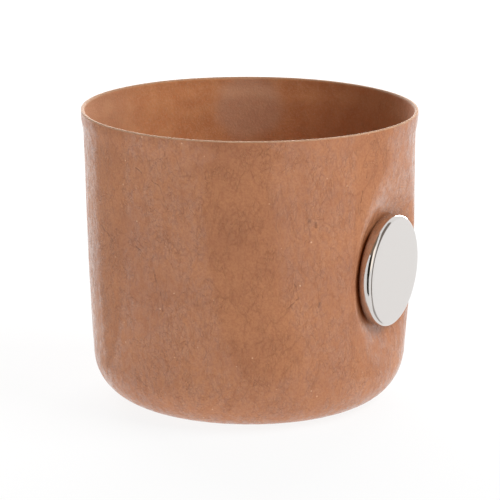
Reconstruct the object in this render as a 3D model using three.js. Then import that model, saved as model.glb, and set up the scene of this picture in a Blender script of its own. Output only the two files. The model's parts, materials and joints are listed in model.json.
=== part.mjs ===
// Moulded leather cachepot with two disc magnets clamped through its wall.
// Millimetres, +Z up. The origin is the centre of the underside, and the magnets face +X.

import * as THREE from 'three';

// Leather pot: one sheet, wet-moulded over a round former
const potHeight = 105.3;
const rimRadius = 60.3; // outside, at the rim
const footRadius = 55.5; // outside, where the line of the wall would meet the ground
const wallBulge = 0.6; // how far the dried wall swells past that line at mid height
const rimFlare = 0.8; // how far the wall turns out at the rim, from cutting and handling
const rimFlareHeight = 6; // height over which it turns out
const leatherThickness = 1.3;
const footRounding = 16.7; // outside radius between wall and bottom
const rimRounding = 0.4; // the cut edge is eased on both corners

// Magnets: a matched pair of stock discs, one outside the wall and one inside
const magnetRadius = 20;
const magnetThickness = 5;
const magnetEdgeRadius = 1.5;
const magnetHeight = 52.2; // centre of the flat between both discs, above the ground
const magnetLean = 1.4; // degrees that the discs face down, a little less than the wall does
const clampGap = 0.25; // between each disc and the leather

// Flat that the discs press into the round wall
const flatMargin = 3.65; // how far past the edge of the discs its plane cuts the round wall
const flatRim = 0.3; // how far the leather stays flat past the edge of the discs
const runOutSlope = 0.36; // rise of the leather from the flat back to the round, per mm
const ridgeSoftness = 0.7; // depth over which the ridge is rounded where it meets the round
const lowerRidgeSoftness = 3; // added to that below the discs, where the foot is near
const lowerRidgeReach = 10; // distance from the discs over which it is added

// Shoulders: the leather that the flat displaces swells a little on either side of the discs
const shoulderSwell = 1.2;
const shoulderAngle = 28; // degrees round the pot from the middle of the discs
const shoulderWidth = 11; // degrees
const shoulderHeight = 54;
const shoulderReach = 28; // how far above and below that height the swelling fades

// Fineness of the facets
const potFacets = 80;
const facetCrowding = 0.45; // draws the pot's facets towards the magnets, 0 for even ones
const wallSteps = 20;
const footSteps = 6;
const cornerSteps = 2;
const magnetFacets = 64;
const magnetEdgeSteps = 4;

const leatherMaterial = new THREE.MeshStandardMaterial({
  color: '#b97f5a',
  roughness: 0.55,
  metalness: 0,
});
const nickelMaterial = new THREE.MeshStandardMaterial({
  color: '#dedad6',
  roughness: 0.15,
  metalness: 1,
});

// Outside radius of the wall at a height, before the magnets press on it
function wallRadius(height) {
  const share = height / potHeight;
  const line = footRadius + (rimRadius - rimFlare - footRadius) * share;
  const flare = rimFlare * THREE.MathUtils.smoothstep(height, potHeight - rimFlareHeight, potHeight);
  return line + wallBulge * Math.sin(Math.PI * share) + flare;
}

// Angle by which the wall leans outwards at a height, below the flare
function wallLean(height) {
  const share = height / potHeight;
  const rise = rimRadius - rimFlare - footRadius + Math.PI * wallBulge * Math.cos(Math.PI * share);
  return Math.atan(rise / potHeight);
}

// Points on a quarter round or less, both ends included
function arcPoints(centreX, centreY, radius, fromAngle, toAngle, steps) {
  const points = [];
  for (let i = 0; i <= steps; i++) {
    const angle = fromAngle + ((toAngle - fromAngle) * i) / steps;
    points.push(new THREE.Vector2(centreX + radius * Math.cos(angle), centreY + radius * Math.sin(angle)));
  }
  return points;
}

// The rounded foot touches the ground and runs smoothly into the leaning wall
const footLean = wallLean(footRounding);
const footTop = footRounding * (1 - Math.sin(footLean));
const footCentreRadius = wallRadius(footTop) - footRounding * Math.cos(footLean);

// Half section of one side of the leather, from the middle of the bottom up to the rim's corner.
// Depth is 0 on the grain side and the leather's thickness on the flesh side.
function skinProfile(depth) {
  const points = [new THREE.Vector2(0, depth)];
  const round = footRounding - depth;
  points.push(...arcPoints(footCentreRadius, footRounding, round, -Math.PI / 2, -footLean, footSteps));
  const wallTop = potHeight - rimRounding;
  for (let i = 1; i <= wallSteps; i++) {
    const height = footTop + ((wallTop - footTop) * i) / wallSteps;
    const lean = wallLean(height);
    const radius = wallRadius(height) - depth * Math.cos(lean);
    points.push(new THREE.Vector2(radius, Math.min(height + depth * Math.sin(lean), wallTop)));
  }
  return points;
}

// Eased corner of the cut edge, on the grain side (0 degrees) or the flesh side (90 degrees)
function rimCorner(centreRadius, fromAngle) {
  const top = potHeight - rimRounding;
  const corner = arcPoints(centreRadius, top, rimRounding, fromAngle, fromAngle + Math.PI / 2, cornerSteps);
  return corner.slice(fromAngle > 0 ? 0 : 1, fromAngle > 0 ? -1 : undefined);
}

// Plane of the flat: it cuts the round wall a margin past the edge of the discs
const flatLean = THREE.MathUtils.degToRad(magnetLean);
const flatCut = magnetRadius + flatMargin;
const flatDistance = Math.sqrt(wallRadius(magnetHeight) ** 2 - flatCut ** 2);

// How far the wall swells beside the discs, at an angle round the pot and a height
function shoulder(angle, height) {
  const turn = (Math.abs(THREE.MathUtils.radToDeg(angle)) - shoulderAngle) / shoulderWidth;
  const rise = (height - shoulderHeight) / shoulderReach;
  return shoulderSwell * Math.exp(-turn * turn - rise * rise);
}

// The value where it is above 0 and 0 where it is below, with a soft turn between them
function softPositive(value, softness) {
  if (Math.abs(value) >= softness) {
    return Math.max(value, 0);
  }
  return (value + softness) ** 2 / (4 * softness);
}

// Crowds the facets towards the magnets, swells the shoulders and presses the flat into the wall
function pressFlat(geometry) {
  const position = geometry.attributes.position;
  for (let i = 0; i < position.count; i++) {
    const evenAngle = Math.atan2(position.getY(i), position.getX(i));
    const angle = evenAngle - facetCrowding * Math.sin(evenAngle);
    const z = position.getZ(i);
    const roundRadius = Math.hypot(position.getX(i), position.getY(i));
    const depth = wallRadius(z) - roundRadius;
    const radius = roundRadius + (z > footTop ? shoulder(angle, z) : 0);
    const x = radius * Math.cos(angle);
    const y = radius * Math.sin(angle);
    const flatX = flatDistance - depth + (z - magnetHeight) * Math.tan(flatLean);
    const outside = Math.hypot(y, z - magnetHeight) - magnetRadius - flatRim;
    const past = softPositive(outside, ridgeSoftness);
    const below = THREE.MathUtils.smoothstep(magnetHeight - z, 0, magnetRadius);
    const lower = below * THREE.MathUtils.smoothstep(past, 0, lowerRidgeReach);
    const softness = ridgeSoftness + lowerRidgeSoftness * lower;
    position.setXYZ(i, x - softPositive(x - flatX - runOutSlope * past, softness), y, z);
  }
}

// The pot: grain side up, over the cut edge, flesh side down, turned round the upright axis
function makeLeatherPot() {
  const grain = skinProfile(0);
  const flesh = skinProfile(leatherThickness);
  const grainRim = grain[grain.length - 1].x;
  const fleshRim = flesh[flesh.length - 1].x;
  const profile = [
    ...grain,
    ...rimCorner(grainRim - rimRounding, 0),
    ...rimCorner(fleshRim + rimRounding, Math.PI / 2),
    ...flesh.reverse(),
  ];
  const geometry = new THREE.LatheGeometry(profile, potFacets);
  geometry.rotateX(Math.PI / 2);
  pressFlat(geometry);
  geometry.computeVertexNormals();
  const pot = new THREE.Mesh(geometry, leatherMaterial);
  pot.name = 'leather_pot';
  return pot;
}

// A plain disc with both edges rounded, from its back at x = 0 to its face at x = thickness
function makeMagnet(name) {
  const flatRadius = magnetRadius - magnetEdgeRadius;
  const faceEdge = magnetThickness - magnetEdgeRadius;
  const profile = [
    new THREE.Vector2(0, 0),
    ...arcPoints(flatRadius, magnetEdgeRadius, magnetEdgeRadius, -Math.PI / 2, 0, magnetEdgeSteps),
    ...arcPoints(flatRadius, faceEdge, magnetEdgeRadius, 0, Math.PI / 2, magnetEdgeSteps),
    new THREE.Vector2(0, magnetThickness),
  ];
  const geometry = new THREE.LatheGeometry(profile, magnetFacets);
  geometry.rotateZ(-Math.PI / 2);
  const magnet = new THREE.Mesh(geometry, nickelMaterial);
  magnet.name = name;
  return magnet;
}

// Both discs sit square on the flat, so they lean with it
function makeMagnetPair() {
  const pair = new THREE.Group();
  pair.position.set(flatDistance, 0, magnetHeight);
  pair.rotation.y = flatLean;
  const outer = makeMagnet('outer_magnet');
  outer.position.x = clampGap;
  const inner = makeMagnet('inner_magnet');
  inner.position.x = -leatherThickness - clampGap - magnetThickness;
  pair.add(outer, inner);
  return pair;
}

const group = new THREE.Group();
group.add(makeLeatherPot(), makeMagnetPair());

export default group;
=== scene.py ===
# %% [markdown]
# A moulded leather cachepot with a magnetic clamp
#
# The object is one sheet of vegetable-tanned leather, moulded wet over a round former, with two
# nickel-plated disc magnets that squeeze its wall between them. The magnets are stock parts, so
# nearly all of the making is in the leather: its pressed flat, its uneven skin, its raw rim.
# Lengths are written in millimetres and turned to metres once, by the value mm.

# %% Load the measured frame
import json
import math

import bmesh
import bpy
from mathutils import Matrix, Vector, noise


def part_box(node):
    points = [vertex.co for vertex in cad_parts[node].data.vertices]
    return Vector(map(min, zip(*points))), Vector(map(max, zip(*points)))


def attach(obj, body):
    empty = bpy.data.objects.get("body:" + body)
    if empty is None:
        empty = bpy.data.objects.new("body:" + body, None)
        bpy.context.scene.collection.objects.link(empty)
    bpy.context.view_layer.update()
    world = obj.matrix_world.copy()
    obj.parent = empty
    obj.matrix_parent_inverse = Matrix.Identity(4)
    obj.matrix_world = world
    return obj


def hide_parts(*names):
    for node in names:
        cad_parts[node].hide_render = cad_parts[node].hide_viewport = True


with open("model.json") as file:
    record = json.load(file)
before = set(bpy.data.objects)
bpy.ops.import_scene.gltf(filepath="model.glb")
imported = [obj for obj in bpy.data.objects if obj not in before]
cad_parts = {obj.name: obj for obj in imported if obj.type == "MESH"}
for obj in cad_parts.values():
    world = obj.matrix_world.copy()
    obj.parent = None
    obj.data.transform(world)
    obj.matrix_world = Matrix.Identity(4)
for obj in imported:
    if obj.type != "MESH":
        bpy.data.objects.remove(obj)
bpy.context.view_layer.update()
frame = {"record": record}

# %% [markdown]
# The sizes are the ones the solids were made from. The pot's height and the place and lean of the
# magnets can be read from the frame, so they are. The rest is repeated here, because the outline
# of the leather has to be built again at a finer step than the solids have. A few are eased, as
# handling does: the rim turns out from lower down and ends in a straight lip, the foot is a little
# rounder, and the creases above and below the discs are softer.

# %% Sizes of the leather pot
mm = 0.001
pot_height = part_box("leather_pot")[1].z
rim_radius = 60.3 * mm
foot_radius = 55.5 * mm
wall_bulge = 0.6 * mm
rim_flare = 0.8 * mm
rim_flare_height = 9 * mm
rim_lip = 2 * mm  # straight again at the very top
leather_thickness = 1.3 * mm
foot_rounding = 17.1 * mm
rim_rounding = 0.4 * mm
print(f"pot: {pot_height / mm:.1f} mm high, {2 * rim_radius / mm:.1f} mm across the rim")

# %% Sizes and place of the magnets
magnet_radius = 20 * mm
magnet_thickness = 5 * mm
magnet_edge_radius = 1.5 * mm
clamp_gap = 0.25 * mm

mounts = {mount["name"]: mount for mount in frame["record"]["mounts"]}
magnet_face = Vector(mounts["magnet_face"]["pos_m"])
pull_axis = Vector(mounts["magnet_face"]["axis"])
flat_lean = math.atan2(-pull_axis.z, pull_axis.x)
flat_centre = magnet_face - pull_axis * (magnet_thickness + clamp_gap)
magnet_height = flat_centre.z
print(f"magnets: {magnet_height / mm:.1f} mm up, leaning {math.degrees(flat_lean):.2f} degrees")


# %% [markdown]
# Colours are written the way a maker picks them from a swatch, as sRGB hex. Shaders calculate
# with linear light, so one function turns each hex value to linear numbers. Materials could be
# wired in the node editor, but then their sizes would be hidden there. Here one function adds any
# node, and every finish is written with it.

# %% Colours and one helper for nodes
def linear(hex_colour):
    """The linear red, green, blue and alpha of an sRGB colour such as '#b97f5a'."""
    channels = [int(hex_colour[i : i + 2], 16) / 255 for i in (1, 3, 5)]
    return [c / 12.92 if c <= 0.04045 else ((c + 0.055) / 1.055) ** 2.4 for c in channels] + [1.0]


def add_node(tree, kind, inputs=(), **settings):
    """Adds one node. Its inputs are a list in their order, or a dictionary by name or number.

    Each input is a value, another node's output, or a node, which stands for its first output.
    """
    node = tree.nodes.new("ShaderNode" + kind)
    for name, value in settings.items():
        setattr(node, name, value)
    sockets = inputs if isinstance(inputs, dict) else dict(enumerate(inputs))
    for name, value in sockets.items():
        if isinstance(value, bpy.types.Node):
            value = value.outputs[0]
        if isinstance(value, bpy.types.NodeSocket):
            tree.links.new(value, node.inputs[name])
        else:
            node.inputs[name].default_value = value
    return node


def empty_material(name):
    """A material with no nodes, ready to be built up."""
    material = bpy.data.materials.new(name)
    material.use_nodes = True
    material.node_tree.nodes.clear()
    return material


def add_object(name, data):
    """Puts a mesh, a lamp or a camera into the scene as an object."""
    added = bpy.data.objects.new(name, data)
    bpy.context.scene.collection.objects.link(added)
    return added


print("tan leather in linear light:", [round(channel, 3) for channel in linear("#b07853")])

# %% [markdown]
# The camera stands where the photographer stood: a little above the rim, a metre away, with a
# long lens, so that the far rim is only slightly smaller than the near one. The angle is measured
# from the magnets' own direction, which is +X.

# %% Camera
camera_target = Vector((0, 0, 52.7 * mm))
camera_distance = 1010.1 * mm
camera_azimuth = math.radians(28.2)
camera_elevation = math.radians(14.05)
camera_roll = math.radians(0.19)

camera_data = bpy.data.cameras.new("camera")
camera_data.lens = 201.3
camera_data.sensor_width = 36.0
camera_data.shift_x = 0.0019
camera = add_object("camera", camera_data)
bpy.context.scene.camera = camera


def studio_place(azimuth_degrees, elevation_degrees, distance):
    """A place round the pot: azimuth is counted from the camera, positive to its right."""
    azimuth = camera_azimuth + math.radians(azimuth_degrees)
    elevation = math.radians(elevation_degrees)
    level = math.cos(elevation) * distance
    return camera_target + Vector(
        (level * math.sin(azimuth), -level * math.cos(azimuth), distance * math.sin(elevation))
    )


camera.location = studio_place(0, math.degrees(camera_elevation), camera_distance)
aim = (camera_target - camera.location).to_track_quat("-Z", "Y").to_matrix().to_4x4()
roll = Matrix.Rotation(camera_roll, 4, "Z")
camera.matrix_world = Matrix.Translation(camera.location) @ aim @ roll
print("camera at", [round(c, 4) for c in camera.location])

# %% [markdown]
# The studio is a white table in a white room. More light would make it white too, but would also
# bleach the leather. So what the camera and the mirrors see of it is pure white, by the Light
# Path node, while the light that it sends onto the leather stays moderate.


# %% White room
def seen_directly(tree):
    """1 for rays that show the studio itself: to the camera, in a reflection or through glass."""
    path = add_node(tree, "LightPath").outputs
    rays = [path["Is Camera Ray"], path["Is Glossy Ray"]]
    mirrored = add_node(tree, "Math", rays, operation="MAXIMUM")
    return add_node(tree, "Math", [mirrored, path["Is Transmission Ray"]], operation="MAXIMUM")


room_fill = 0.17  # light that the room sends onto the pot
room_white = 1.0  # brightness at which the room is seen

world = bpy.data.worlds.new("white_room")
world.use_nodes = True
room_tree = world.node_tree
room_tree.nodes.clear()
strength = add_node(
    room_tree,
    "MapRange",
    {"Value": seen_directly(room_tree), "To Min": room_fill, "To Max": room_white},
)
room_light = add_node(
    room_tree, "Background", {"Color": linear("#ffffff"), "Strength": strength}
)
add_node(room_tree, "OutputWorld", {"Surface": room_light})
bpy.context.scene.world = world
print(f"room: seen at {room_white}, lights the pot at {room_fill}")

# %% [markdown]
# The table is partly a real matt surface, so the pot still leaves a soft shadow on it, and partly
# a glow. The two shares differ between what is seen of it and what it sends up to the pot.

# %% Floor
floor_half_width = 3.0
floor_whiteness = 0.88  # share of pure white in what the camera sees of the floor
floor_bounce = 0.6  # the same in the light that it sends up to the pot
bounce_strength = 1.82  # a lit table is brighter than white paper in the picture

floor_material = empty_material("white_table")
table_tree = floor_material.node_tree
matt = add_node(table_tree, "BsdfDiffuse", {"Color": linear("#f6f6f6")})
seen = seen_directly(table_tree)
share = add_node(
    table_tree,
    "MapRange",
    {"Value": seen, "To Min": floor_bounce, "To Max": floor_whiteness},
)
glow_strength = add_node(
    table_tree,
    "MapRange",
    {"Value": seen, "To Min": bounce_strength, "To Max": room_white},
)
glow = add_node(
    table_tree, "Emission", {"Color": linear("#ffffff"), "Strength": glow_strength}
)
blended = add_node(table_tree, "MixShader", [share, matt, glow])
add_node(table_tree, "OutputMaterial", {"Surface": blended})

floor_mesh = bpy.data.meshes.new("table_top")
floor_corners = [(-1, -1), (1, -1), (1, 1), (-1, 1)]
floor_mesh.from_pydata(
    [(x * floor_half_width, y * floor_half_width, 0) for x, y in floor_corners],
    [],
    [(0, 1, 2, 3)],
)
floor_mesh.materials.append(floor_material)
floor = add_object("table_top", floor_mesh)
print(f"table: {2 * floor_half_width} m square")


# %% [markdown]
# Four soft boxes light the leather. A large one high on the right gives the form its slow fall of
# light and reaches into the pot, a weak one on the left opens the shadow side, and two low ones
# behind the pot draw the thin sheen along its sides. The first two stay out of the mirrors, as
# pale walls would, so that no bright square shows in the nickel.


# %% Lamps
lamp_distance = 1.3
lamp_height = 0.7


def soft_box(name, azimuth_degrees, elevation_degrees, width, watts):
    """A rectangular lamp that looks at the middle of the pot."""
    lamp = bpy.data.lights.new(name, "AREA")
    lamp.shape = "RECTANGLE"
    lamp.size = width
    lamp.size_y = lamp_height
    lamp.energy = watts
    box = add_object(name, lamp)
    box.location = studio_place(azimuth_degrees, elevation_degrees, lamp_distance)
    box.rotation_euler = (camera_target - box.location).to_track_quat("-Z", "Y").to_euler()
    return box


for name, azimuth_degrees, elevation_degrees, width, watts, in_mirrors in (
    ("key_light", 71, 40, 0.9, 15.3, False),
    ("left_fill_light", -50, 12, 0.7, 3.4, False),
    ("left_rim_light", -162, 12, 0.7, 26, True),
    ("right_rim_light", 166, 14, 0.7, 17, True),
):
    box = soft_box(name, azimuth_degrees, elevation_degrees, width, watts)
    box.visible_glossy = in_mirrors
    print(f"{name}: {watts} W")


# %% [markdown]
# A white room alone makes polished metal look like paper, and waxed leather look dusty. So some
# cards stand round the pot that are seen in reflections only. Two dark ones are the unlit room
# behind the camera, and a brown one is the ceiling: the side of the disc mirrors them. Two grey
# ones on the left keep the sheen of the leather to a narrow band. Two small grey ones beside and
# below the disc, and a warm window, draw the light and dark lines in its rounded edge.


# %% Cards for the reflections
card_lift = 0.001  # a card on the table lies this far above it


def on_table(*corners):
    """Corners of a card that lies on the table, each given as right and forward."""
    return [(right, forward, card_lift) for right, forward in corners]


def upright(one_end, other_end, bottom, top):
    """Corners of a card that stands between two places, each given as right and forward."""
    return [(*one_end, bottom), (*other_end, bottom), (*other_end, top), (*one_end, top)]


def reflection_card(name, corners, hex_colour, brightness):
    """A card seen only in mirrors. Each corner is right, forward and up from the pot, in metres."""
    right = Vector((math.cos(camera_azimuth), math.sin(camera_azimuth), 0))
    forward = Vector((math.sin(camera_azimuth), -math.cos(camera_azimuth), 0))
    places = [right * r + forward * f + Vector((0, 0, up)) for r, f, up in corners]
    mesh = bpy.data.meshes.new(name)
    mesh.from_pydata(places, [], [tuple(range(len(places)))])
    material = empty_material(name)
    tree = material.node_tree
    tone = add_node(tree, "Emission", {"Color": linear(hex_colour), "Strength": brightness})
    add_node(tree, "OutputMaterial", {"Surface": tone})
    mesh.materials.append(material)
    card = add_object(name, mesh)
    card.visible_camera = False
    card.visible_diffuse = False
    card.visible_shadow = False
    card.visible_transmission = False
    card.visible_volume_scatter = False


ceiling_corners = [
    (-1.21, 0.21, 1.03),
    (-0.79, 0.94, 1.03),
    (0.0, 1.23, 1.03),
    (0.73, 0.87, 1.13),
    (0.24, 0.14, 1.58),
    (-0.27, 0.05, 1.58),
]
dark_floor_corners = on_table((0.0, 0.10), (0.06, 0.10), (0.25, 1.6), (-1.25, 1.6))
left_table_corners = on_table((-0.07, 0.0), (-1.6, 0.1), (-1.15, -1.03), (-0.088, -0.012))
below_disc_corners = on_table((0.075, 0.05), (0.08, 0.01), (0.152, -0.01), (0.152, 0.066))

for name, hex_colour, brightness, corners in (
    ("dark_floor", "#2c2820", 1.0, dark_floor_corners),
    ("dark_room", "#2c2820", 1.0, upright((-1.25, 1.6), (0.45, 1.6), 0.0, 1.5)),
    ("grey_table_left", "#a09b97", 1.0, left_table_corners),
    ("grey_wall_left", "#a09b97", 1.0, upright((-1.6, 0.1), (-1.15, -1.03), 0.0, 0.45)),
    ("brown_ceiling", "#8a7868", 1.0, ceiling_corners),
    ("grey_card_beside", "#827a73", 1.0, upright((0.152, 0.066), (0.152, -0.012), 0.0, 0.18)),
    ("grey_card_below", "#b5b1ae", 1.0, below_disc_corners),
    ("window", "#fff5e8", 1.5, upright((0.51, 1.41), (1.23, 0.86), 0.1, 1.25)),
):
    reflection_card(name, corners, hex_colour, brightness)
    print(f"{name}: {len(corners)} corners, seen in mirrors only")


# %% [markdown]
# The wall is a straight cone with a slight swell, because the wet leather relaxes as it dries.
# It runs into the bottom through a large rounding: leather can't be drawn over a sharp corner.
# The sheet could be one surface with a Solidify modifier, but then its rim would be a hard band.
# So the same line is used for the grain side outside and the flesh side inside, one thickness in.


# %% Outline of the leather
def smooth_step(value, low, high):
    """0 below low, 1 above high, and a smooth rise between."""
    share = min(max((value - low) / (high - low), 0), 1)
    return share * share * (3 - 2 * share)


def wall_radius(height):
    """Outside radius at a height, before the magnets press on the wall."""
    share = height / pot_height
    line = foot_radius + (rim_radius - rim_flare - foot_radius) * share
    flare = rim_flare * smooth_step(height, pot_height - rim_flare_height, pot_height - rim_lip)
    return line + wall_bulge * math.sin(math.pi * share) + flare


def wall_lean(height):
    """Angle by which the wall leans outwards at a height, below the flare."""
    share = height / pot_height
    rise = rim_radius - rim_flare - foot_radius
    rise += math.pi * wall_bulge * math.cos(math.pi * share)
    return math.atan(rise / pot_height)


foot_lean = wall_lean(foot_rounding)
foot_top = foot_rounding * (1 - math.sin(foot_lean))
foot_centre_radius = wall_radius(foot_top) - foot_rounding * math.cos(foot_lean)
print(f"rounded foot starts {foot_centre_radius / mm:.2f} mm from the middle")

# %% Lines of both skins and of the cut edge
bottom_rings = 14
foot_steps = 22
wall_steps = 140
corner_steps = 3


def skin_line(depth):
    """Radius, height and normal angle of one skin, from the middle of the bottom to the rim."""
    line = []
    for i in range(bottom_rings):
        line.append((foot_centre_radius * i / bottom_rings, depth, -math.pi / 2))
    for i in range(foot_steps + 1):
        angle = -math.pi / 2 + (math.pi / 2 - foot_lean) * i / foot_steps
        reach = foot_rounding - depth
        radius = foot_centre_radius + reach * math.cos(angle)
        line.append((radius, foot_rounding + reach * math.sin(angle), angle))
    wall_top = pot_height - rim_rounding
    for i in range(1, wall_steps + 1):
        height = foot_top + (wall_top - foot_top) * i / wall_steps
        lean = wall_lean(height)
        radius = wall_radius(height) - depth * math.cos(lean)
        line.append((radius, min(height + depth * math.sin(lean), wall_top), -lean))
    return line


def rim_line(grain_radius, flesh_radius):
    """The cut edge: flat on top, with both corners eased by the cutting and by handling."""
    line = []
    centre_height = pot_height - rim_rounding
    for i in range(1, corner_steps + 1):
        angle = math.pi / 2 * i / corner_steps
        radius = grain_radius - rim_rounding + rim_rounding * math.cos(angle)
        line.append((radius, centre_height + rim_rounding * math.sin(angle), angle))
    for i in range(corner_steps):
        angle = math.pi / 2 + math.pi / 2 * i / corner_steps
        radius = flesh_radius + rim_rounding + rim_rounding * math.cos(angle)
        line.append((radius, centre_height + rim_rounding * math.sin(angle), angle))
    return line


print(f"each skin: {len(skin_line(0))} rings")

# %% [markdown]
# The two rigid discs press a flat into the round wall. From the edge of the discs the leather
# climbs back to the round on an even slope, and the ridge where the two meet is soft. Leather
# that is pushed in has to go somewhere, so beside the discs the wall swells a little. A cloth
# simulation would crumple it like cloth: hide this thick is stiff, so a formula says where it lies.

# %% Flat pressed by the magnets
flat_rim = 0.3 * mm  # the leather stays flat this far past the edge of the discs
run_out_slope = 0.36
ridge_softness = 0.7 * mm  # depth over which the ridge is rounded
lower_ridge_softness = 3 * mm  # added below the discs, where the foot is near
lower_ridge_reach = 10 * mm
lower_crease_softness = 3.5 * mm  # added below the discs, where the flat turns into its slope
upper_crease_softness = 3.5 * mm  # the same above them
upper_ridge_softness = 2 * mm  # added above the discs, where the leather is free to give
upper_fade_start = 0.3 * magnet_radius  # above the middle of the discs, where both of these set in
upper_fade_end = 1.2 * magnet_radius  # and where they are full
shoulder_swell = 1.2 * mm
shoulder_angle = 28  # degrees round the pot from the middle of the discs
shoulder_width = 11  # degrees
shoulder_height = 54 * mm
shoulder_reach = 28 * mm


def shoulder(angle, height):
    """How far the wall swells beside the discs."""
    from_discs = abs(math.degrees(math.remainder(angle, 2 * math.pi)))
    turn = (from_discs - shoulder_angle) / shoulder_width
    rise = (height - shoulder_height) / shoulder_reach
    return shoulder_swell * math.exp(-turn * turn - rise * rise)


def soft_positive(value, softness):
    """The value where it is above 0 and 0 where it is below, with a soft turn between them."""
    if abs(value) >= softness:
        return max(value, 0)
    return (value + softness) ** 2 / (4 * softness)


def past_discs(y, z):
    """How far a point lies outside the rim of the flat."""
    return math.hypot(y, z - magnet_height) - magnet_radius - flat_rim


def pressed_back(x, y, z, depth):
    """Moves a point back to the flat or to its slope, where it stands proud of them."""
    flat_x = flat_centre.x - depth + (z - magnet_height) * math.tan(flat_lean)
    below = smooth_step(magnet_height - z, 0, magnet_radius)
    above = smooth_step(z - magnet_height, upper_fade_start, upper_fade_end)
    crease = ridge_softness + lower_crease_softness * below + upper_crease_softness * above
    past = soft_positive(past_discs(y, z), crease)
    lower = below * smooth_step(past, 0, lower_ridge_reach)
    softness = ridge_softness + lower_ridge_softness * lower + upper_ridge_softness * above
    return x - soft_positive(x - flat_x - run_out_slope * past, softness)


print(f"flat lies {flat_centre.x / mm:.2f} mm from the middle of the pot")

# %% [markdown]
# The skin itself is never even: drying pulls it into shallow swellings a centimetre or so across,
# with finer pebbling on them. The rim is cut by hand, so it rises and falls by about a tenth of a
# millimetre. Bump in the material would leave the outline straight, so both are real shape. They
# only take away from the even form, so the outside size stays what it is.

# %% Uneven skin and wavy rim
swelling_size = 13 * mm
swelling_depth = 0.22 * mm
pebble_size = 3.6 * mm
pebble_depth = 0.07 * mm
rim_waves = [  # how many waves there are round the rim, how deep they are, and where they start
    (2, 0.04 * mm, 0.4),
    (3, 0.03 * mm, 2.1),
    (7, 0.02 * mm, 1.0),
]


def skin_dip(angle, height):
    """How far the skin lies below the even wall. It is never above it, so the size holds."""
    place = Vector((math.cos(angle), math.sin(angle), 0)) * wall_radius(height)
    place.z = height
    swelling = noise.noise(place / swelling_size)
    pebbles = noise.noise(place / pebble_size)
    return swelling_depth * (1 - swelling) / 2 + pebble_depth * (1 - pebbles) / 2


def rim_drop(angle):
    """How far the hand-cut rim lies below its highest point."""
    return sum(depth * (1 - math.cos(count * angle + start)) for count, depth, start in rim_waves)


print(f"deepest rim wave {max(rim_drop(math.radians(a)) for a in range(360)) / mm:.2f} mm")

# %% [markdown]
# Now the line is turned round the axis and every point is moved by what was just worked out. Both
# the pot and the discs are rings of points joined by faces, so one function makes the mesh.


# %% Leather mesh
pot_columns = 480
column_crowding = 0.45  # draws the columns towards the magnets, where the ridge is
rim_fade = 14 * mm  # height over which the wall follows the waves of the rim
foot_fade = 6 * mm  # height over which the uneven skin sets in above the ground
flat_fade = 14 * mm  # distance over which it sets in beside the discs


def mesh_through_rings(name, rings):
    """A smooth closed mesh through rings of points. A ring of one point closes an end."""
    shape = bmesh.new()
    rings = [[shape.verts.new(point) for point in ring] for ring in rings]
    columns = max(len(ring) for ring in rings)
    for lower, upper in zip(rings, rings[1:]):
        for i in range(columns):
            following = (i + 1) % columns
            corners = [lower[i % len(lower)], lower[following % len(lower)]]
            corners += [upper[following % len(upper)], upper[i % len(upper)]]
            face = shape.faces.new(list(dict.fromkeys(corners)))
            face.smooth = True
    bmesh.ops.recalc_face_normals(shape, faces=shape.faces)
    mesh = bpy.data.meshes.new(name)
    shape.to_mesh(mesh)
    shape.free()
    return mesh


def leather_point(radius, height, normal_angle, depth, even_angle):
    """The place of one point of the skin, with everything that shapes it."""
    angle = even_angle - column_crowding * math.sin(even_angle)
    if height > foot_top:
        radius += shoulder(angle, height)
    x = radius * math.cos(angle)
    y = radius * math.sin(angle)
    x = pressed_back(x, y, height, depth)
    dip = skin_dip(angle, height) * smooth_step(height, 0, foot_fade)
    if x > 0:
        dip *= smooth_step(past_discs(y, height), 0, flat_fade)
    side = math.cos(normal_angle) * dip
    drop = rim_drop(angle) * smooth_step(height, pot_height - rim_fade, pot_height)
    return Vector((x - side * math.cos(angle), y - side * math.sin(angle), height - drop))


def make_leather_pot():
    """One closed sheet: grain side up, over the cut edge, and down the flesh side."""
    grain = skin_line(0)
    flesh = skin_line(leather_thickness)
    edge = rim_line(grain[-1][0], flesh[-1][0])
    rows = [(*point, 0) for point in grain]
    for i, point in enumerate(edge):
        rows.append((*point, leather_thickness * i / (len(edge) - 1)))
    rows += [(*point, leather_thickness) for point in reversed(flesh)]

    turns = [2 * math.pi * i / pot_columns for i in range(pot_columns)]
    rings = []
    for radius, height, normal_angle, depth in rows:
        if radius == 0:
            rings.append([(0, 0, height)])
        else:
            rings.append(
                [leather_point(radius, height, normal_angle, depth, turn) for turn in turns]
            )
    mesh = mesh_through_rings("moulded_leather_pot", rings)

    first_edge_row = len(grain) - 1
    first_flesh_row = len(grain) + len(edge)
    for face in mesh.polygons:
        row = face.index // pot_columns
        face.material_index = 0 if row < first_edge_row else 1 if row < first_flesh_row else 2
    return mesh


pot_mesh = make_leather_pot()
leather_pot = add_object("moulded_leather_pot", pot_mesh)
print(f"leather: {len(pot_mesh.polygons)} faces")


# %% [markdown]
# The outside is the grain side of vegetable-tanned leather. Moulded wet and dried hard, its skin
# shrinks and crazes: large crooked cells about a centimetre across, taller than they are wide,
# and finer ones inside them. A painted image could copy them, but would blur close up and need a
# flat layout of the pot. So both are the borders between Voronoi cells, shifted by noise so that
# no line is straight, and broken off by a second noise so that few cells close.


# %% Helpers for patterns measured in millimetres
smoothly = {"interpolation_type": "SMOOTHSTEP"}

# A Mix node has sockets for numbers and for places too, so its colours go by socket number.
first_colour = 6
second_colour = 7
mixed_colour = 2


def millimetres(tree):
    """Place on the object in millimetres, so that a pattern's size can be written as it is."""
    place = add_node(tree, "TexCoord").outputs["Object"]
    return add_node(tree, "VectorMath", {0: place, "Scale": 1 / mm}, operation="SCALE")


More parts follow.
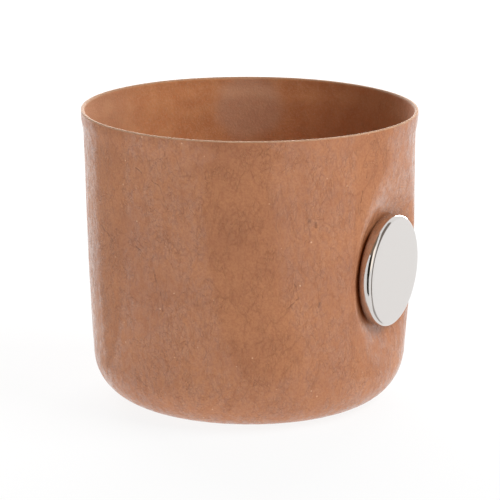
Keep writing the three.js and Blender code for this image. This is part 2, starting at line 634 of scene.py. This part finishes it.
def shifted(tree, place, *wanders):
    """The place moved aside by noise, which makes straight borders crooked.

    Each wander is how far it moves and over what distance the noise changes, in millimetres.
    """
    for wander_mm, size_mm in wanders:
        changes = add_node(tree, "TexNoise", {"Vector": place, "Scale": 1 / size_mm})
        centred = add_node(
            tree, "VectorMath", [changes.outputs["Color"], (0.5, 0.5, 0.5)], operation="SUBTRACT"
        )
        scaled = add_node(
            tree, "VectorMath", {0: centred, "Scale": 2 * wander_mm}, operation="SCALE"
        )
        place = add_node(tree, "VectorMath", [place, scaled], operation="ADD")
    return place


def craze(tree, place, cell_mm, line_mm, broken_size_mm, kept):
    """Lines between cells, 1 on a line. The share that is kept comes and goes in patches."""
    cells = {"Vector": place, "Scale": 1 / cell_mm}
    border = add_node(tree, "TexVoronoi", cells, feature="DISTANCE_TO_EDGE")
    line = add_node(tree, "MapRange", [border, 0.0, line_mm / cell_mm, 1.0, 0.0], **smoothly)
    patches = add_node(tree, "TexNoise", {"Vector": place, "Scale": 1 / broken_size_mm})

    # Most of this noise lies between 0.3 and 0.7, so these two limits move through that range.
    broken_below = 0.62 - kept * 0.3
    whole_above = 0.7 - kept * 0.3
    whole = add_node(tree, "MapRange", [patches, broken_below, whole_above], **smoothly)
    return add_node(tree, "Math", [line, whole], operation="MULTIPLY")


def tinted(tree, colour, pattern, low, high, hex_colour, at_low=0.0, at_high=1.0):
    """The colour, tinted more and more as the pattern goes from low to high."""
    amount = add_node(tree, "MapRange", [pattern, low, high, at_low, at_high], **smoothly)
    colours = {0: amount, first_colour: colour, second_colour: linear(hex_colour)}
    return add_node(tree, "Mix", colours, data_type="RGBA").outputs[mixed_colour]


def mixed_towards(tree, colour, pattern, share, hex_colour):
    """The colour, mixed towards a second one where the pattern is 1, by this share: for stains and
    for painted shade.
    """
    amount = add_node(tree, "Math", [pattern, share], operation="MULTIPLY")
    colours = {0: amount, first_colour: colour, second_colour: linear(hex_colour)}
    return add_node(tree, "Mix", colours, data_type="RGBA").outputs[mixed_colour]


# %% [markdown]
# A few longer creases and two nicks come from use, and each has a place of its own, so they can't
# come from a pattern. They could be cut into the mesh, but they are only tenths of a millimetre
# deep. So the material measures how far a point is from a line between two places on the wall.


# %% Creases and nicks from use
def on_wall(angle_degrees, height_mm):
    """A place on the outside of the wall in millimetres, by its angle from the discs."""
    angle = math.radians(angle_degrees)
    radius = wall_radius(height_mm * mm) / mm
    return Vector((radius * math.cos(angle), radius * math.sin(angle), height_mm))


def mark(tree, place, start, end, half_width_mm):
    """1 on the line from start to end, falling to 0 at its half width."""
    along = end - start
    from_start = add_node(tree, "VectorMath", [place, start], operation="SUBTRACT")
    reach = add_node(tree, "VectorMath", [from_start, along], operation="DOT_PRODUCT")
    share = add_node(
        tree, "MapRange", {"Value": reach.outputs["Value"], "From Max": along.length_squared}
    )
    nearest = add_node(tree, "VectorMath", {0: along, "Scale": share}, operation="SCALE")
    away = add_node(tree, "VectorMath", [from_start, nearest], operation="DISTANCE")
    fall = [away.outputs["Value"], 0.0, half_width_mm, 1.0, 0.0]
    return add_node(tree, "MapRange", fall, **smoothly)


nicks = [  # angle and height of both ends, then half the width in mm
    ([(-41.5, 76.8), (-41.3, 76.5)], 1.0),
    ([(-39.2, 75.8), (-39.1, 74.4)], 0.85),
]
creases = [  # angle and height of each bend, then half the width in mm
    ([(-37.7, 57.8), (-36.7, 49.1), (-38.3, 41.0)], 0.4),
    ([(-46.6, 55.0), (-44.8, 49.9), (-51.0, 44.5)], 0.4),
    ([(-29.9, 80.3), (-30.3, 68.7), (-34.0, 63.1)], 0.35),
    ([(-29.4, 33.7), (-28.5, 24.1)], 0.35),
    ([(-102.9, 92.8), (-93.4, 87.8), (-89.6, 80.2)], 0.35),
    ([(-103.9, 65.0), (-96.5, 59.8), (-92.5, 43.5)], 0.4),
    ([(-124.5, 68.8), (-116.2, 64.5), (-119.5, 56.5)], 0.4),
    ([(-18.6, 92.8), (-21.4, 80.5)], 0.4),
    ([(48.0, 84.0), (50.0, 58.0)], 0.4),
    ([(141.0, 90.0), (142.5, 61.0)], 0.4),
]
coarse_wobble = (1.3, 7)
fine_wobble = (0.45, 1.6)


def marks_of_use(tree, place):
    """1 on every nick and crease. The creases wobble, and the nicks keep to their places."""
    wobbling = shifted(tree, place, coarse_wobble, fine_wobble)
    marks = None
    for where, bent_lines in ((place, nicks), (wobbling, creases)):
        for bends, half_width in bent_lines:
            for start, end in zip(bends, bends[1:]):
                one = mark(tree, where, on_wall(*start), on_wall(*end), half_width)
                if marks is None:
                    marks = one
                else:
                    marks = add_node(tree, "Math", [marks, one], operation="MAXIMUM")
    return marks


print(f"{len(nicks)} nicks and {len(creases)} creases")

# %% [markdown]
# On the grain side itself there are the cracks, fine wrinkles between them, pores, a slow change
# of tone from the tanning, pale specks, and a bloom of wax that is polished in some patches. Real
# pores and wrinkles are a tenth of a millimetre wide, a third of what one point of the picture
# covers, so they are drawn several times as coarse: otherwise they wouldn't show at all.

# %% What the skin shows
squeezed_heights = (1.0, 1.0, 0.55)  # cells and wrinkles come out taller than wide by this
coarse_wander = (3.0, 11)  # this and all below are in millimetres
fine_wander = (0.6, 2.0)
tone_size = 22
bloom_size = 5
wax_size = 1.9
wrinkle_spacing = 1.5
pore_size = 0.8
speck_spacing = 5.0


def skin_patterns(tree, place):
    """The patterns of the grain side, each from 0 to 1."""
    tall = add_node(tree, "VectorMath", [place, squeezed_heights], operation="MULTIPLY")
    crooked = shifted(tree, tall, coarse_wander, fine_wander)
    large_cracks = craze(tree, crooked, cell_mm=9, line_mm=0.3, broken_size_mm=6, kept=0.5)
    small_cracks = craze(tree, crooked, cell_mm=2.4, line_mm=0.28, broken_size_mm=5, kept=0.7)
    pores, tone, bloom, wax = (
        add_node(
            tree,
            "TexNoise",
            {"Vector": where, "Scale": 1 / size, "Detail": detail, "Roughness": roughness},
        )
        for where, size, detail, roughness in (
            (place, pore_size, 4.0, 0.65),
            (place, tone_size, 4.0, 0.6),
            (crooked, bloom_size, 4.0, 0.7),
            (crooked, wax_size, 3.0, 0.6),
        )
    )
    bloom_film = add_node(tree, "MapRange", [bloom, 0.38, 0.6, 0.57, 1.0], **smoothly)
    wax_film = add_node(tree, "MapRange", [wax, 0.42, 0.56, 0.5, 1.0], **smoothly)

    # A wrinkle runs where this noise crosses its middle, and only where there is bloom.
    folds = add_node(tree, "TexNoise", {"Vector": tall, "Scale": 1 / wrinkle_spacing})
    off_middle = add_node(tree, "Math", [folds, 0.5], operation="SUBTRACT")
    off_fold = add_node(tree, "Math", [off_middle], operation="ABSOLUTE")
    fold_lines = add_node(tree, "MapRange", [off_fold, 0.0, 0.07, 1.0, 0.0], **smoothly)
    bloomed = add_node(tree, "MapRange", [bloom, 0.42, 0.58], **smoothly)
    wrinkles = add_node(tree, "Math", [fold_lines, bloomed], operation="MULTIPLY")

    spots = add_node(tree, "TexVoronoi", {"Vector": place, "Scale": 1 / speck_spacing})
    specks = add_node(tree, "MapRange", [spots, 0.02, 0.09, 1.0, 0.0], **smoothly)
    return {
        "large_cracks": large_cracks,
        "small_cracks": small_cracks,
        "pores": pores,
        "tone": tone,
        "bloom": bloom,
        "films": [bloom_film, wax_film],
        "wrinkles": wrinkles,
        "specks": specks,
    }


print(f"tone changes over {tone_size} mm, and pores are drawn {pore_size} mm wide")

# %% [markdown]
# Where the leather closes round the edge of the disc, it lies in deep shade, and this shade is
# painted into the colour, nearly black. The Ambient Occlusion node finds the crevice by itself,
# but it would also darken the wall above and below the disc. So the painted shade is held to a
# ring, and to its two sides.

# %% Painted shade beside the disc
crevice_depth = 3.5 * mm
crevice_closed = 0.35  # share of open directions at which the painted shade is full
crevice_open = 0.75  # and at which it is gone
crevice_shade_colour = "#763611"
shade_ring_centre = flat_centre / mm - Vector((0, 0, 1))  # millimetres, as are the four below
shade_full_radius = 22.4
shade_gone_radius = 23.4
shade_gone_side = 8.0  # sideways from the middle of the disc
shade_full_side = 15.0
shade_ring_squeeze = (1.0, 1.0, 1.07)  # the ring is a little less high than wide


def painted_crevice_shade(tree, place):
    """Where the crevice is, and the ring round the disc where its shade is painted into the colour.
    """
    openness = add_node(tree, "AmbientOcclusion", {"Distance": crevice_depth}, samples=12)
    from_centre = add_node(
        tree, "VectorMath", [place, tuple(shade_ring_centre)], operation="SUBTRACT"
    )
    squeezed = add_node(
        tree, "VectorMath", [from_centre, shade_ring_squeeze], operation="MULTIPLY"
    )
    from_axis = add_node(tree, "VectorMath", [squeezed], operation="LENGTH").outputs["Value"]
    sideways = add_node(tree, "SeparateXYZ", [place]).outputs["Y"]
    ring = add_node(
        tree, "MapRange", [from_axis, shade_full_radius, shade_gone_radius, 1.0, 0.0], **smoothly
    )
    off_middle = add_node(tree, "Math", [sideways], operation="ABSOLUTE")
    sides = add_node(tree, "MapRange", [off_middle, shade_gone_side, shade_full_side], **smoothly)
    beside_disc = add_node(tree, "Math", [ring, sides], operation="MULTIPLY")
    closing = [openness.outputs["AO"], crevice_closed, crevice_open, 1.0, 0.0]
    crevice = add_node(tree, "MapRange", closing, **smoothly)
    return crevice, beside_disc


print(f"painted crevice shade up to {shade_gone_radius} mm from the middle of the disc")

# %% [markdown]
# The finish of the grain side is half-matt, because the fibres under it scatter the light, with a
# thin coat of wax over it. That coat gives the sheen along the sides of the pot. Leather has an
# IOR of about 1.45. Its own gloss is turned down, so that the coat alone makes the highlights.


# %% Grain side of moulded vegetable-tanned leather
def moulded_grain_leather():
    """Hard-dried grain side: half-matt, tan, crazed, with pores and a waxy bloom in patches."""
    material = empty_material("moulded_grain_leather")
    tree = material.node_tree
    place = millimetres(tree)
    skin = skin_patterns(tree, place)
    marks = marks_of_use(tree, place)

    colour = tinted(tree, linear("#a46e4d"), skin["tone"], 0.3, 0.7, "#b07853")
    colour = tinted(tree, colour, skin["pores"], 0.36, 0.66, "#925840", at_high=0.45)
    for pattern, share, hex_colour in (
        (skin["large_cracks"], 0.2, "#6a3a24"),
        (skin["small_cracks"], 0.19, "#7d482f"),
        (skin["wrinkles"], 0.14, "#7d482f"),
        (skin["specks"], 0.6, "#e2b592"),
        (marks, 0.5, "#54301f"),
    ):
        colour = mixed_towards(tree, colour, pattern, share, hex_colour)
    # Painted shade: where the crevice beside the disc lies in shade, the colour is darkened to
    # nearly black.
    crevice, beside_disc = painted_crevice_shade(tree, place)
    colour = mixed_towards(tree, colour, crevice, beside_disc, crevice_shade_colour)

    depth = add_node(tree, "Math", [skin["large_cracks"], -0.035], operation="MULTIPLY")
    for pattern, height_mm in (
        (skin["small_cracks"], -0.025),
        (skin["wrinkles"], -0.11),
        (skin["pores"], 0.07),
        (skin["bloom"], 0.3),
        (marks, -0.12),
    ):
        raised = add_node(tree, "Math", [pattern, height_mm], operation="MULTIPLY")
        depth = add_node(tree, "Math", [depth, raised], operation="ADD")
    relief = add_node(tree, "Bump", {"Strength": 1.0, "Distance": mm, "Height": depth})
    leather = add_node(
        tree,
        "BsdfPrincipled",
        {
            "Base Color": colour,
            "Roughness": add_node(
                tree, "MapRange", [skin["pores"], 0.2, 0.8, 0.5, 0.62], **smoothly
            ),
            "IOR": 1.45,
            "Specular IOR Level": 0.12,
            "Coat Weight": add_node(tree, "Math", skin["films"], operation="MULTIPLY"),
            "Coat Roughness": 0.16,
            "Normal": relief,
        },
    )
    add_node(tree, "OutputMaterial", {"Surface": leather})
    print(f"{material.name}: {len(tree.nodes)} nodes")
    return material


# %% [markdown]
# The inside is the flesh side, which was against the former. It has no skin: loose fibres lie in
# all directions and take up more light and colour in some places, so it is matt and mottled. Hair
# could make the nap, but it is too short to show: noise in the colour and in the bump is enough.
# Its fibres are far finer than the picture, so they are drawn as tufts of nearly a millimetre.
# Loose fibres have an IOR like that of any hide, but so much air between them that little shines.


# %% Flesh side
blotch_size = 7  # this and all below are in millimetres, but for the strengths
nap_size = 0.9
patch_wander = (2.0, 8)
painted_light_patches = (  # middle, full out to, gone at, strength and colour
    ((-27.5, 51.0, 94.0), 9.0, 16.0, 0.35, "#b59a8a"),  # painted pale haze, for a reflection of the lamps on the far inside wall
    ((-60.0, -10.0, 98.0), 8.0, 40.0, 0.35, "#ad8a76"),  # painted light, on the inside wall that the key light falls on
    ((34.0, 48.0, 88.0), 14.0, 46.0, 0.4, "#7c4a2c"),  # painted shade, on the inside wall turned away from the lamps
)


def suede_flesh_side():
    """Raw flesh side: matt, orange and mottled, with a short nap and three patches of painted
    light.
    """
    material = empty_material("suede_flesh_side")
    tree = material.node_tree
    place = millimetres(tree)
    blotches, nap = (
        add_node(
            tree,
            "TexNoise",
            {"Vector": place, "Scale": 1 / size, "Detail": detail, "Roughness": roughness},
        )
        for size, detail, roughness in ((blotch_size, 4.0, 0.6), (nap_size, 3.0, 0.7))
    )
    colour = tinted(tree, linear("#b6784f"), blotches, 0.3, 0.7, "#c3885d")
    colour = tinted(tree, colour, nap, 0.4, 0.75, "#ca9a79", at_high=0.4)
    wavering = shifted(tree, place, patch_wander)
    # Painted light and shade: a pale haze and a lit patch, and a darker patch where the wall is in
    # shade.
    for middle, full, gone, strongest, hex_colour in painted_light_patches:
        away = add_node(tree, "VectorMath", [wavering, middle], operation="DISTANCE")
        distance = away.outputs["Value"]
        colour = tinted(
            tree, colour, distance, full, gone, hex_colour, at_low=strongest, at_high=0.0
        )
    height = add_node(tree, "Math", [nap, 0.15], operation="MULTIPLY")
    relief = add_node(tree, "Bump", {"Strength": 1.0, "Distance": mm, "Height": height})
    fibres = add_node(
        tree,
        "BsdfPrincipled",
        {"Base Color": colour, "Roughness": 0.85, "IOR": 1.4, "Normal": relief},
    )
    add_node(tree, "OutputMaterial", {"Surface": fibres})
    print(f"{material.name}: {len(tree.nodes)} nodes")
    return material


# %% [markdown]
# The rim is a fresh cut through the thickness of the hide. Tanning colours the two sides first,
# so the middle of the cut is paler than either of them. It is only a thin line in the picture, so
# one soft noise for its fibres will do, drawn as coarse as the pores to show at all.


# %% Cut edge
fibre_size = 0.8  # millimetres


def raw_cut_edge():
    """Raw cut through the hide: pale, matt and fibrous."""
    material = empty_material("raw_cut_edge")
    tree = material.node_tree
    place = millimetres(tree)
    strands = {"Vector": place, "Scale": 1 / fibre_size, "Detail": 3.0, "Roughness": 0.6}
    fibres = add_node(tree, "TexNoise", strands)
    colour = tinted(tree, linear("#a88064"), fibres, 0.3, 0.7, "#bd9678")
    height = add_node(tree, "Math", [fibres, 0.08], operation="MULTIPLY")
    relief = add_node(tree, "Bump", {"Strength": 1.0, "Distance": mm, "Height": height})
    cut = add_node(
        tree,
        "BsdfPrincipled",
        {"Base Color": colour, "Roughness": 0.8, "IOR": 1.45, "Normal": relief},
    )
    add_node(tree, "OutputMaterial", {"Surface": cut})
    print(f"{material.name}: {len(tree.nodes)} nodes")
    return material


for finish in (moulded_grain_leather(), raw_cut_edge(), suede_flesh_side()):
    pot_mesh.materials.append(finish)

# %% [markdown]
# The magnets are plain discs with rounded edges. A cylinder with a Bevel modifier would come
# close, but its side would be dead straight, and tumbling leaves it slightly crowned. They are
# turned forms, so each is one outline spun round its axis. The face is a mirror of the white
# room, and what makes it read as metal is the edge, where the mirror bends away.

# %% Magnet meshes
disc_columns = 192
disc_edge_steps = 10
disc_face_rings = 6
side_crown = math.radians(6)  # the tumbled side is not quite straight: it turns this far each way


def disc_line():
    """Half section of a disc from the middle of its back to the middle of its face."""
    half_side = magnet_thickness / 2 - magnet_edge_radius
    crown_radius = half_side / math.sin(side_crown) + magnet_edge_radius
    crown_centre = magnet_radius - crown_radius
    edge_centre = crown_centre + (crown_radius - magnet_edge_radius) * math.cos(side_crown)
    square = math.pi / 2
    line = [(0.0, edge_centre * i / disc_face_rings) for i in range(disc_face_rings)]
    for middle, centre, radius, start, end in (
        (-half_side, edge_centre, magnet_edge_radius, -square, -side_crown),
        (0.0, crown_centre, crown_radius, -side_crown, side_crown),
        (half_side, edge_centre, magnet_edge_radius, side_crown, square),
    ):
        # Each arc but the first one starts at the point where the arc before it ended.
        for i in range(1 if middle >= 0 else 0, disc_edge_steps + 1):
            angle = start + (end - start) * i / disc_edge_steps
            x = magnet_thickness / 2 + middle + radius * math.sin(angle)
            line.append((x, centre + radius * math.cos(angle)))
    line += [
        (magnet_thickness, edge_centre * (1 - i / disc_face_rings))
        for i in range(1, disc_face_rings + 1)
    ]
    return line


def make_disc(name, distance_from_flat):
    """A disc whose back lies this far in front of the pressed flat."""
    rings = []
    for x, radius in disc_line():
        ring = []
        for i in range(disc_columns if radius > 0 else 1):
            angle = 2 * math.pi * i / disc_columns
            ring.append((x, radius * math.cos(angle), radius * math.sin(angle)))
        rings.append(ring)
    mesh = mesh_through_rings(name, rings)
    seat = Matrix.Translation(flat_centre) @ Matrix.Rotation(flat_lean, 4, "Y")
    mesh.transform(seat @ Matrix.Translation((distance_from_flat, 0, 0)))
    return add_object(name, mesh)


outer_disc = make_disc("outer_disc_magnet", clamp_gap)
inner_disc = make_disc("inner_disc_magnet", -leather_thickness - clamp_gap - magnet_thickness)
print(f"each disc: {len(outer_disc.data.polygons)} faces")

# %% [markdown]
# The discs are plated with bright nickel over a tumbled blank. Nickel is a warm grey mirror, and
# fingers leave a haze on it in soft patches: a real mirror would be sharper than the photograph.
# A brushed or sandblasted disc would spread the bright lines of the edge, which are narrow here.


# %% Nickel plating
haze_size = 7  # millimetres


def tumbled_nickel_plate():
    """Bright nickel plate over a tumbled disc: warm grey mirror, slightly hazed by handling."""
    material = empty_material("tumbled_nickel_plate")
    tree = material.node_tree
    place = millimetres(tree)
    haze = add_node(tree, "TexNoise", {"Vector": place, "Scale": 1 / haze_size, "Detail": 3.0})
    plate = add_node(
        tree,
        "BsdfPrincipled",
        {
            "Base Color": linear("#d8d4d1"),
            "Metallic": 1.0,
            "Roughness": add_node(tree, "MapRange", [haze, 0.3, 0.7, 0.08, 0.14], **smoothly),
        },
    )
    add_node(tree, "OutputMaterial", {"Surface": plate})
    print(f"{material.name}: {len(tree.nodes)} nodes")
    return material


nickel = tumbled_nickel_plate()
for disc in (outer_disc, inner_disc):
    disc.data.materials.append(nickel)

# %% [markdown]
# Each piece rides on the body that it belongs to and stands in for the plain solid there, so it
# moves with the joints: the outer disc pulls off the wall, the inner one lifts out of the pot.

# %% Join the pieces to the moving bodies
for piece, body, node, slot in (
    (leather_pot, "pot", "leather_pot", "leather"),
    (outer_disc, "outer_disc", "outer_magnet", "nickel"),
    (inner_disc, "inner_disc", "inner_magnet", "nickel"),
):
    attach(piece, body)
    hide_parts(node)
    print(f"{piece.name} rides on {body}")

# %% [markdown]
# Colours should come out as they are written, so the view transform is the plain one.

# %% Finish
bpy.context.scene.view_settings.view_transform = "Standard"
